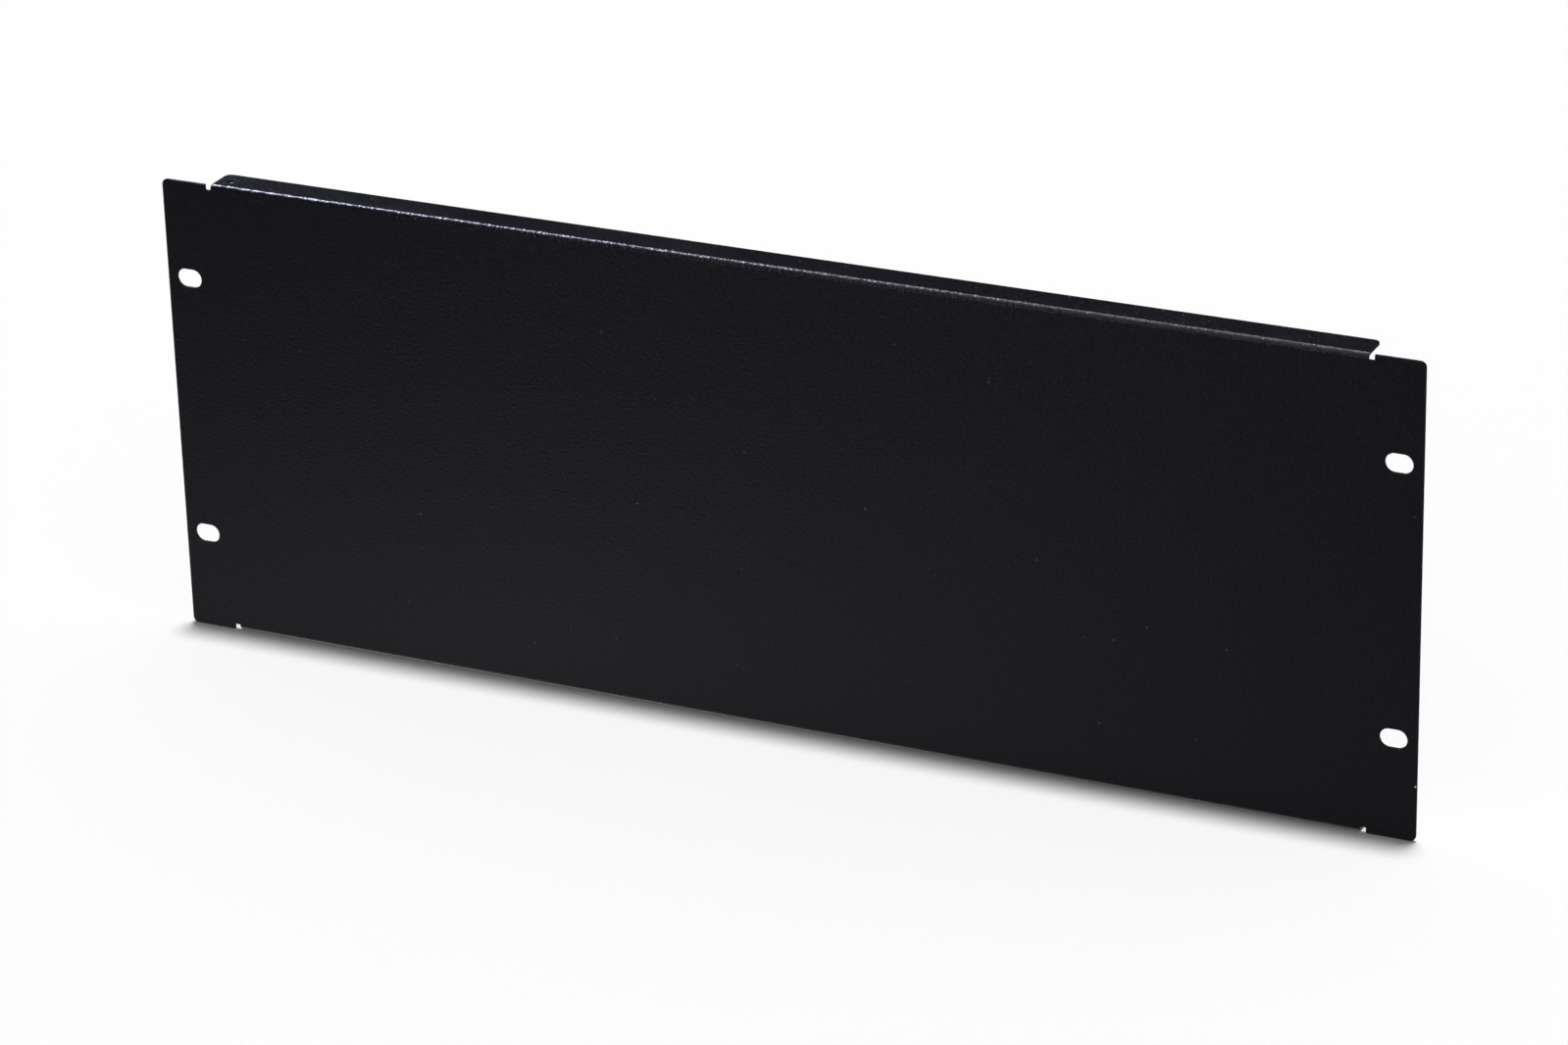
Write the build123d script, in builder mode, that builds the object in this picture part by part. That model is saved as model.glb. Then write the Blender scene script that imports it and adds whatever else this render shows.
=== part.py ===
from build123d import *
import os

# Rack standard: width across the ears, height in rack units, and where the screws pass
panel_width = 482.6
rack_unit = 44.45
units_tall = 4
height_clearance = 0.8
slot_from_side = 8.75
slot_from_edge = 37.7
slot_length = 10.0
slot_width = 7.0

# Sheet steel and its folds
sheet = 1.0
bend_inside_radius = 1.0
flange_depth = 13.0
flange_corner_radius = 2.5
ear_width = 18.0
ear_corner_radius = 2.2
edge_break = 0.15

# Notches that let each bend end cleanly beside its ear
relief_width = 2.1
relief_past_bend = 0.1
relief_root_radius = 0.1
relief_mouth_radius = 0.3

# Small hole near one end of the top flange, where the panel hung while it was coated
hang_hole_diameter = 2.8
hang_hole_from_end = 5.4
hang_hole_from_front = 6.5

# Sizes that follow from the ones above
panel_height = units_tall * rack_unit - height_clearance
slot_pitch_across = panel_width - 2 * slot_from_side
slot_pitch_up = panel_height - 2 * slot_from_edge
bend_outside_radius = bend_inside_radius + sheet
relief_depth = bend_outside_radius + relief_past_bend
folded_length = panel_width - 2 * (ear_width + relief_width)

# The origin is the middle of the four slots, on the back of the ears, where they seat on
# the rack's rails. The face looks along -Y and both flanges fold back to +Y.
front = -sheet
rear = front + flange_depth
top = panel_height / 2
bottom = -top

with BuildPart() as blanking_panel:
    # Bottom flange and its bend, and the same again at the top
    with BuildSketch(Plane.YZ):
        with BuildLine():
            leg = Line((rear, bottom), (front + bend_outside_radius, bottom))
            TangentArc(leg @ 1, (front, bottom + bend_outside_radius), tangent=leg % 1)
            offset(amount=sheet, side=Side.RIGHT)
        make_face()
    extrude(amount=folded_length / 2, both=True)
    mirror(about=Plane.XY)

    # Face between the bends, with an ear of full height at each side
    with BuildSketch(Plane.XZ):
        Rectangle(panel_width, panel_height)
        sides = vertices().group_by(Axis.X)
        fillet(sides[0] + sides[-1], ear_corner_radius)
        with GridLocations(0, panel_height, 1, 2):
            Rectangle(folded_length, 2 * bend_outside_radius, mode=Mode.SUBTRACT)
        with GridLocations(folded_length + relief_width, panel_height, 2, 2):
            RectangleRounded(relief_width, 2 * relief_depth, relief_root_radius, mode=Mode.SUBTRACT)
        with GridLocations(slot_pitch_across, slot_pitch_up, 2, 2):
            SlotOverall(slot_length, slot_width, mode=Mode.SUBTRACT)
        rows = vertices().group_by(Axis.Y)
        mouths = rows[0].sort_by(Axis.X)[1:-1] + rows[-1].sort_by(Axis.X)[1:-1]
        fillet(mouths, relief_mouth_radius)
    extrude(amount=sheet)

    # Rear corners of both flanges, and the hanging hole through the top one
    fillet(edges().filter_by(Axis.Z).group_by(Axis.Y)[-1], flange_corner_radius)
    with Locations((hang_hole_from_end - folded_length / 2, front + hang_hole_from_front, top)):
        Hole(hang_hole_diameter / 2, depth=sheet)

    # Every edge is broken all round, so that the coating holds on it. Left out are the lines
    # that only cross the sheet where a corner or a hole turns, and those where a bend ends.
    across_face = edges().filter_by(Axis.Y).filter_by_position(Axis.Y, front, 0)
    across_flanges = edges().filter_by(Axis.Z).filter_by_position(Axis.Y, bend_inside_radius, rear)
    bend_lines = edges().filter_by(Axis.X).group_by(SortBy.LENGTH)[-1]
    chamfer(edges() - across_face - across_flanges - bend_lines, edge_break)

blanking_panel.part.label = "blanking_panel"

os.makedirs("parts", exist_ok=True)
export_step(blanking_panel.part, "parts/blanking_panel.step")
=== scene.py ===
import math

import bmesh
import bpy
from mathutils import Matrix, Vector


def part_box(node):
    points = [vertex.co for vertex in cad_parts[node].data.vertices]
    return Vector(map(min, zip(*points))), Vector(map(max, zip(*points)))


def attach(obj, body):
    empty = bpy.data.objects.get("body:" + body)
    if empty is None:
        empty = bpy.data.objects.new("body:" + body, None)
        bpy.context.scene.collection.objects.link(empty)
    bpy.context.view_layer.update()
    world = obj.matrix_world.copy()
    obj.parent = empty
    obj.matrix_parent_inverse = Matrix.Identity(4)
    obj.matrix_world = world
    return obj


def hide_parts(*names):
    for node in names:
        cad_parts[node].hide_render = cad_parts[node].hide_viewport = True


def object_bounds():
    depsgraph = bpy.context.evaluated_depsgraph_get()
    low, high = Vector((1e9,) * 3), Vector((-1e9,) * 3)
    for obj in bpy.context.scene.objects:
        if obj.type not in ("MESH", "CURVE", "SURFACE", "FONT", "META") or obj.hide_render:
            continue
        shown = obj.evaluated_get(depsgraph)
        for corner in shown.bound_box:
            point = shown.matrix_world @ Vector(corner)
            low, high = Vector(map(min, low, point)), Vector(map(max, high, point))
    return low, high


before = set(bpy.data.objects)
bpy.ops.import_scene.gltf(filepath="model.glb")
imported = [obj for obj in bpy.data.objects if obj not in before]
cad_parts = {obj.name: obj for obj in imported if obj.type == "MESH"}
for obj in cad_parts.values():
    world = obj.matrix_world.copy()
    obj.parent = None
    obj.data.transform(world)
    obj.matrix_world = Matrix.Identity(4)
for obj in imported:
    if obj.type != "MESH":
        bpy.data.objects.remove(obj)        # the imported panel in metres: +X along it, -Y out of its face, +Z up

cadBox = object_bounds()
mm = 0.001


# sRGB hex to the linear colour that a socket takes
def linearColour(hexColour):
    channels = [int(hexColour[i:i + 2], 16) / 255 for i in (0, 2, 4)]
    linear = [c / 12.92 if c <= 0.04045 else ((c + 0.055) / 1.055) ** 2.4 for c in channels]
    return (*linear, 1.0)


# Adds a node to a material or the world, sets its properties and sockets, and links what comes in
def addNode(owner, kind, settings=None, sockets=None, links=None):
    tree = owner.node_tree
    node = tree.nodes.new(kind)
    for name, value in (settings or {}).items():
        setattr(node, name, value)
    for name, value in (sockets or {}).items():
        node.inputs[name].default_value = value
    for name, source in (links or {}).items():
        tree.links.new(source, node.inputs[name])
    return node


def newMaterial(name):
    material = bpy.data.materials.new(name)
    material.use_nodes = True
    material.node_tree.nodes.clear()
    return material


# The panel: one folded sheet, drawn again here so that its coated edges turn in true rounds
panelSizes = {
    "sheet": 1.0 * mm,
    "bendInside": 1.0 * mm,
    "bendSteps": 10,
    "earWidth": 18.0 * mm,
    "earCorner": 2.2 * mm,
    "flangeCorner": 2.5 * mm,
    "cornerSteps": 7,
    "notchWidth": 2.1 * mm,
    "notchPastBend": 0.1 * mm,
    "notchRoot": 0.09 * mm,
    "notchMouth": 0.3 * mm,
    "notchSteps": 4,
    "slotAcross": 465.1 * mm,
    "slotUp": 101.6 * mm,
    "slotLength": 10.0 * mm,
    "slotWidth": 7.0 * mm,
    "slotSides": 38,
    "hangHole": 2.8 * mm,
    "hangHoleSides": 28,
    "hangHoleFromEnd": 5.4 * mm,
    "hangHoleFromFront": 6.5 * mm,
    "edgeRound": 0.18 * mm,
    "edgeSteps": 3,
    "edgeFrom": 40,          # degrees that an edge turns before it is rounded
}


def near(a, b):
    return abs(a - b) < 0.01 * mm


# Selects the faces, edges or points whose middle passes the test, and nothing else
def pick(kind, test):
    bpy.ops.mesh.select_mode(type=kind)
    bpy.ops.mesh.select_all(action="DESELECT")
    mesh = bmesh.from_edit_mesh(bpy.context.object.data)
    for part in {"VERT": mesh.verts, "EDGE": mesh.edges, "FACE": mesh.faces}[kind]:
        points = [part.co] if kind == "VERT" else [point.co for point in part.verts]
        middle = sum(points[1:], points[0].copy()) / len(points)
        if test(middle):
            part.select_set(True)
    mesh.select_flush_mode()
    bmesh.update_edit_mesh(bpy.context.object.data)


# An empty mesh at the origin, open in edit mode
def startMesh(name):
    bpy.ops.object.select_all(action="DESELECT")
    bpy.ops.object.add(type="MESH", location=(0, 0, 0))
    bpy.context.object.name = name
    bpy.ops.object.mode_set(mode="EDIT")
    return bpy.context.object


def addModifier(piece, kind, **settings):
    bpy.context.view_layer.objects.active = piece
    bpy.ops.object.modifier_add(type=kind)
    modifier = piece.modifiers[-1]
    for name, value in settings.items():
        setattr(modifier, name, value)
    bpy.ops.object.modifier_apply(modifier=modifier.name)


def makeCutters(sizes, foldEnd, front, top):
    cutters = startMesh("holeCutters")
    depth = 4 * sizes["sheet"]
    reach = sizes["slotLength"]
    spread = (sizes["slotLength"] - sizes["slotWidth"]) / 2
    turn = (math.radians(90), math.radians(180 / sizes["slotSides"]), 0)

    # Each slot starts as a round bar, and its halves are then moved apart
    for x in (-sizes["slotAcross"] / 2, sizes["slotAcross"] / 2):
        for z in (-sizes["slotUp"] / 2, sizes["slotUp"] / 2):
            bpy.ops.mesh.primitive_cylinder_add(vertices=sizes["slotSides"], radius=sizes["slotWidth"] / 2,
                                                depth=depth, location=(x, front, z), rotation=turn)
            for way in (-1, 1):
                pick("VERT", lambda middle: 0 < way * (middle.x - x) < reach and abs(middle.z - z) < reach)
                bpy.ops.transform.translate(value=(way * spread, 0, 0))
    bpy.ops.mesh.primitive_cylinder_add(vertices=sizes["hangHoleSides"], radius=sizes["hangHole"] / 2,
                                        depth=depth,
                                        location=(sizes["hangHoleFromEnd"] - foldEnd,
                                                  front + sizes["hangHoleFromFront"], top))
    bpy.ops.mesh.select_all(action="SELECT")
    bpy.ops.mesh.normals_make_consistent(inside=False)
    bpy.ops.object.mode_set(mode="OBJECT")
    return cutters


def makePanel(sizes):
    low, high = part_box("blanking_panel")
    side, top, front, rear = high.x, high.z, low.y, high.y
    bend = sizes["bendInside"] + sizes["sheet"]
    notchDepth = bend + sizes["notchPastBend"]
    earInner = side - sizes["earWidth"]
    foldEnd = earInner - sizes["notchWidth"]

    # Flat blank in the plane of the face, with the four notches cut out
    panel = startMesh("blankingPanel")
    bpy.ops.mesh.primitive_plane_add(size=1, location=(0, front, 0), rotation=(math.radians(90), 0, 0))
    bpy.ops.transform.resize(value=(2 * side, 1, 2 * top), center_override=(0, front, 0))
    for x in (-earInner, -foldEnd, foldEnd, earInner):
        bpy.ops.mesh.select_all(action="SELECT")
        bpy.ops.mesh.bisect(plane_co=(x, 0, 0), plane_no=(1, 0, 0))
    for z in (-top + notchDepth, top - notchDepth):
        pick("FACE", lambda middle: foldEnd < abs(middle.x) < earInner)
        bpy.ops.mesh.bisect(plane_co=(0, 0, z), plane_no=(0, 0, 1))
    pick("FACE", lambda middle: foldEnd < abs(middle.x) < earInner and abs(middle.z) > top - notchDepth)
    bpy.ops.mesh.delete(type="FACE")

    # Both flanges folded back, and the folds rolled to their radius
    pick("EDGE", lambda middle: near(abs(middle.z), top) and near(middle.x, 0))
    bpy.ops.mesh.extrude_region_move(TRANSFORM_OT_translate={"value": (0, rear - front, 0)})
    pick("EDGE", lambda middle: near(abs(middle.z), top) and near(middle.x, 0) and near(middle.y, front))
    bpy.ops.mesh.bevel(offset=bend, segments=sizes["bendSteps"], affect="EDGES")
    bpy.ops.mesh.select_all(action="SELECT")
    bpy.ops.mesh.dissolve_limited(angle_limit=math.radians(1))
    bpy.ops.mesh.normals_make_consistent(inside=False)
    bpy.ops.object.mode_set(mode="OBJECT")
    addModifier(panel, "SOLIDIFY", thickness=sizes["sheet"], offset=-1, use_even_offset=True)

    # Corners, each an edge that crosses the sheet: ears, notch roots, notch mouths, then flanges
    bpy.ops.object.mode_set(mode="EDIT")
    midSheet = front + sizes["sheet"] / 2
    corners = (
        (side, top, "earCorner", "cornerSteps"),
        (earInner, top, "notchMouth", "notchSteps"),
        (earInner, top - notchDepth, "notchRoot", "notchSteps"),
        (foldEnd, top - notchDepth, "notchRoot", "notchSteps"),
    )
    for x, z, radius, steps in corners:
        pick("EDGE", lambda middle: near(abs(middle.x), x) and near(abs(middle.z), z)
             and near(middle.y, midSheet))
        bpy.ops.mesh.bevel(offset=sizes[radius], segments=sizes[steps], affect="EDGES")
    pick("EDGE", lambda middle: near(abs(middle.x), foldEnd) and near(middle.y, rear)
         and near(abs(middle.z), top - sizes["sheet"] / 2))
    bpy.ops.mesh.bevel(offset=sizes["flangeCorner"], segments=sizes["cornerSteps"], affect="EDGES")
    bpy.ops.object.mode_set(mode="OBJECT")

    # Slots and hanging hole punched through, then every edge rounded as the coat rounds it
    cutters = makeCutters(sizes, foldEnd, front, top)
    addModifier(panel, "BOOLEAN", operation="DIFFERENCE", solver="EXACT", object=cutters)
    bpy.data.objects.remove(cutters)
    addModifier(panel, "BEVEL", width=sizes["edgeRound"], segments=sizes["edgeSteps"], limit_method="ANGLE",
                angle_limit=math.radians(sizes["edgeFrom"]), use_clamp_overlap=False)
    bpy.ops.object.select_all(action="DESELECT")
    panel.select_set(True)
    bpy.ops.object.shade_smooth()
    addModifier(panel, "WEIGHTED_NORMAL", mode="FACE_AREA", weight=50)
    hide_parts("blanking_panel")
    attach(panel, "root")
    return panel


panel = makePanel(panelSizes)
print("panel folded")


# Powder coat: polyester sprayed dry and baked, black with a breath of blue. Its fine leathery
# grain breaks the light on the bends into sparkle, and keeps the flat face a deep, even black.
coat = {
    "black": "0d0c14",
    "blackHigh": "13121a",     # on the tips of the grain, where the coat is thin
    "specular": 0.11,
    "roughness": (0.22, 0.26), # slow change from patch to patch, as the gun passed
    "patch": 45 * mm,
    "grain": 1.1 * mm,         # about 0.3 mm on the real coat, drawn coarser so that it shows
    "grainHeight": 0.25 * mm,
    "dust": "34343a",
    "dustApart": 22 * mm,
    "dustSize": 0.3 * mm,
    "primer": "bdbdb8",        # bared by a small chip beside the right ear's edge
    "chipPlace": (240.8 * mm, -1.0 * mm, -67.6 * mm),
    "chipSize": (0.45 * mm, 0.45 * mm, 0.65 * mm),
    "chipFrom": 0.82,          # a lower value bares more of it
}


def makeCoat():
    material = newMaterial("powderCoatBlack")
    place = addNode(material, "ShaderNodeTexCoord").outputs["Object"]
    grain = addNode(material, "ShaderNodeTexNoise",
                    sockets={"Scale": 1 / coat["grain"], "Detail": 1.0, "Roughness": 0.5},
                    links={"Vector": place}).outputs["Fac"]
    bump = addNode(material, "ShaderNodeBump", sockets={"Strength": 1.0, "Distance": coat["grainHeight"]},
                   links={"Height": grain})
    tips = addNode(material, "ShaderNodeMapRange", sockets={"From Min": 0.4, "From Max": 0.7},
                   links={"Value": grain}).outputs["Result"]
    blacks = addNode(material, "ShaderNodeMix", {"data_type": "RGBA"},
                     {6: linearColour(coat["black"]), 7: linearColour(coat["blackHigh"])}, {0: tips})

    # Dust: a faint speck in some of the cells
    cells = addNode(material, "ShaderNodeTexVoronoi", sockets={"Scale": 1 / coat["dustApart"]},
                    links={"Vector": place})
    speck = addNode(material, "ShaderNodeMapRange",
                    sockets={"From Min": coat["dustSize"] / coat["dustApart"], "From Max": 0.0},
                    links={"Value": cells.outputs["Distance"]}).outputs["Result"]
    dusty = addNode(material, "ShaderNodeMix", {"data_type": "RGBA"},
                    {7: linearColour(coat["dust"])}, {0: speck, 6: blacks.outputs[2]})

    # Chip: a ragged spot where the ball round its place outweighs the grain
    sizeX, sizeY, sizeZ = coat["chipSize"]
    toChip = [-at / size for at, size in zip(coat["chipPlace"], coat["chipSize"])]
    ball = addNode(material, "ShaderNodeMapping",
                   sockets={"Location": toChip, "Scale": (1 / sizeX, 1 / sizeY, 1 / sizeZ)},
                   links={"Vector": place})
    nearness = addNode(material, "ShaderNodeTexGradient", {"gradient_type": "SPHERICAL"},
                       links={"Vector": ball.outputs["Vector"]}).outputs["Fac"]
    ragged = addNode(material, "ShaderNodeMath", {"operation": "ADD"}, links={0: nearness, 1: grain})
    chip = addNode(material, "ShaderNodeMath", {"operation": "GREATER_THAN"}, {1: coat["chipFrom"]},
                   {0: ragged.outputs[0]})
    worn = addNode(material, "ShaderNodeMix", {"data_type": "RGBA"},
                   {7: linearColour(coat["primer"])}, {0: chip.outputs[0], 6: dusty.outputs[2]})

    patches = addNode(material, "ShaderNodeTexNoise", sockets={"Scale": 1 / coat["patch"], "Detail": 1.0},
                      links={"Vector": place}).outputs["Fac"]
    roughLow, roughHigh = coat["roughness"]
    rough = addNode(material, "ShaderNodeMapRange",
                    sockets={"From Min": 0.3, "From Max": 0.7, "To Min": roughLow, "To Max": roughHigh},
                    links={"Value": patches})
    shader = addNode(material, "ShaderNodeBsdfPrincipled",
                     sockets={"IOR": 1.5, "Specular IOR Level": coat["specular"]},
                     links={"Base Color": worn.outputs[2], "Roughness": rough.outputs["Result"],
                            "Normal": bump.outputs["Normal"]})
    addNode(material, "ShaderNodeOutputMaterial", links={"Surface": shader.outputs["BSDF"]})
    return material


panel.data.materials.append(makeCoat())
print("panel coated")


# Floor: white paper with an upright rim far out, so that a low view meets it too. In the coat
# it is mirrored as a painted glow without the panel's shadow, a painted pool of light brightest
# before the panel's left half, with painted shade far behind the panel.
paper = {
    "white": "fdfdfd",
    "radius": 10.0,
    "rim": 1.5,
    "paintedPoolPlace": (-0.12, -0.03, cadBox[0].z),
    "paintedPoolRadius": 0.44,
    "paintedGlowLow": 0.40,
    "paintedGlowHigh": 1.40,
    # painted shade: the mirrored glow fades out far behind the panel
    "paintedShadeFrom": 0.70,
    "paintedShadeTo": 1.40,
    "paintedShadeShare": 0.10,       # of the painted glow, left in the painted shade behind the panel
}


def makePaper():
    material = newMaterial("whitePaper")
    matt = addNode(material, "ShaderNodeBsdfPrincipled",
                   sockets={"Base Color": linearColour(paper["white"]), "Roughness": 0.9,
                            "Specular IOR Level": 0.0})
    place = addNode(material, "ShaderNodeTexCoord")
    # Painted pool of light, seen only in the coat's gloss, round a point before the panel's left half
    toPool = [-at / paper["paintedPoolRadius"] for at in paper["paintedPoolPlace"]]
    ball = addNode(material, "ShaderNodeMapping",
                   sockets={"Location": toPool, "Scale": [1 / paper["paintedPoolRadius"]] * 3},
                   links={"Vector": place.outputs["Object"]})
    pool = addNode(material, "ShaderNodeTexGradient", {"gradient_type": "SPHERICAL"},
                   links={"Vector": ball.outputs["Vector"]})
    level = addNode(material, "ShaderNodeMapRange",
                    sockets={"To Min": paper["paintedGlowLow"], "To Max": paper["paintedGlowHigh"]},
                    links={"Value": pool.outputs["Fac"]})
    axes = addNode(material, "ShaderNodeSeparateXYZ", links={"Vector": place.outputs["Object"]})
    # Painted shade: the painted glow dims far behind the panel
    share = addNode(material, "ShaderNodeMapRange",
                    sockets={"From Min": paper["paintedShadeFrom"], "From Max": paper["paintedShadeTo"],
                             "To Min": 1.0, "To Max": paper["paintedShadeShare"]},
                    links={"Value": axes.outputs["Y"]})
    paintedGlowLevel = addNode(material, "ShaderNodeMath", {"operation": "MULTIPLY"},
                      links={0: level.outputs["Result"], 1: share.outputs["Result"]})
    # The painted glow that the coat mirrors in place of the lit paper
    glow = addNode(material, "ShaderNodeEmission", links={"Strength": paintedGlowLevel.outputs["Value"]})
    ray = addNode(material, "ShaderNodeLightPath")
    either = addNode(material, "ShaderNodeMixShader",
                     links={0: ray.outputs["Is Glossy Ray"], 1: matt.outputs["BSDF"],
                            2: glow.outputs["Emission"]})
    addNode(material, "ShaderNodeOutputMaterial", links={"Surface": either.outputs["Shader"]})
    return material


def makeFloor():
    bpy.ops.object.select_all(action="DESELECT")
    bpy.ops.mesh.primitive_circle_add(vertices=96, radius=paper["radius"], fill_type="NGON",
                                      location=(0, 0, cadBox[0].z))
    floor = bpy.context.object
    floor.name = "paperFloor"
    bpy.ops.object.transform_apply(location=True)
    bpy.ops.object.mode_set(mode="EDIT")
    bpy.ops.mesh.select_all(action="SELECT")
    bpy.ops.mesh.region_to_loop()
    bpy.ops.mesh.extrude_region_move(TRANSFORM_OT_translate={"value": (0, 0, paper["rim"])})
    bpy.ops.object.mode_set(mode="OBJECT")
    floor.data.materials.append(makePaper())


makeFloor()
print("floor laid")


# Lamps: a soft sun from overhead lays the shadow at the panel's foot. Two softboxes above and
# behind draw the bright line along the top bend, the panels overhead and in front let it fade
# into the face, and a weak box low at the back lifts the left end of the top flange.
lamps = {
    "overheadStrength": 2.53,
    "overheadSpread": 5.2,   # degrees, as is the lean from behind
    "overheadLean": 2.8,
    "roomLight": 0.20,
    "roomMirrored": 0.01,
    "boxes": {               # place, size, power and colour
        "backSoftbox": ((-0.95, 0.47, 1.09), (0.5, 0.6), 66, "dfe6ff"),
        "topSoftbox": ((-0.25, 0.44, 1.09), (0.9, 0.6), 18, "f6f7fb"),
        "overheadPanel": ((0.05, -0.45, 0.95), (1.0, 1.0), 11, "f6f7fb"),
        "frontPanel": ((-0.35, -1.50, 0.33), (0.5, 0.8), 6, "dfe6ff"),
        "leftSoftbox": ((-0.90, 0.75, 0.45), (0.35, 0.25), 0.12, "dfe6ff"),
    },
}


# A box that shows only in the coat's gloss, and leaves the floor even
def addGlossBox(name, place, size, power, colour):
    bpy.ops.object.light_add(type="AREA", location=place)
    box = bpy.context.object
    box.name = name
    box.rotation_euler = (-Vector(place)).to_track_quat("-Z", "Y").to_euler()
    box.data.shape = "RECTANGLE"
    box.data.size, box.data.size_y = size
    box.data.energy = power
    box.data.color = linearColour(colour)[:3]
    box.visible_diffuse = False
    box.visible_camera = False


def addLamps():
    bpy.ops.object.light_add(type="SUN", rotation=(math.radians(-lamps["overheadLean"]), 0, 0))
    sun = bpy.context.object
    sun.name = "overheadLight"
    sun.data.energy = lamps["overheadStrength"]
    sun.data.angle = math.radians(lamps["overheadSpread"])
    for name, (place, size, power, colour) in lamps["boxes"].items():
        addGlossBox(name, place, size, power, colour)

    world = bpy.data.worlds.new("studioRoom")
    bpy.context.scene.world = world
    world.use_nodes = True
    world.node_tree.nodes.clear()
    ray = addNode(world, "ShaderNodeLightPath")
    level = addNode(world, "ShaderNodeMapRange",
                    sockets={"To Min": lamps["roomLight"], "To Max": lamps["roomMirrored"]},
                    links={"Value": ray.outputs["Is Glossy Ray"]})
    room = addNode(world, "ShaderNodeBackground", sockets={"Color": (1, 1, 1, 1)},
                   links={"Strength": level.outputs["Result"]})
    addNode(world, "ShaderNodeOutputWorld", links={"Surface": room.outputs["Background"]})


addLamps()
print("lamps placed")


# Camera: a long lens a little above the panel and well to its right
view = {
    "place": (0.7960, -1.6507, 0.7948),
    "turn": (66.308, 1.394, 24.996),
    "lens": 130.13,
    "reach": 50,             # past the floor's rim
}


def addCamera():
    turn = [math.radians(angle) for angle in view["turn"]]
    bpy.ops.object.camera_add(location=view["place"], rotation=turn)
    camera = bpy.context.object
    camera.name = "productCamera"
    camera.data.lens = view["lens"]
    camera.data.clip_end = view["reach"]
    bpy.context.scene.camera = camera


addCamera()
bpy.context.scene.view_settings.view_transform = "Standard"
print("camera set")
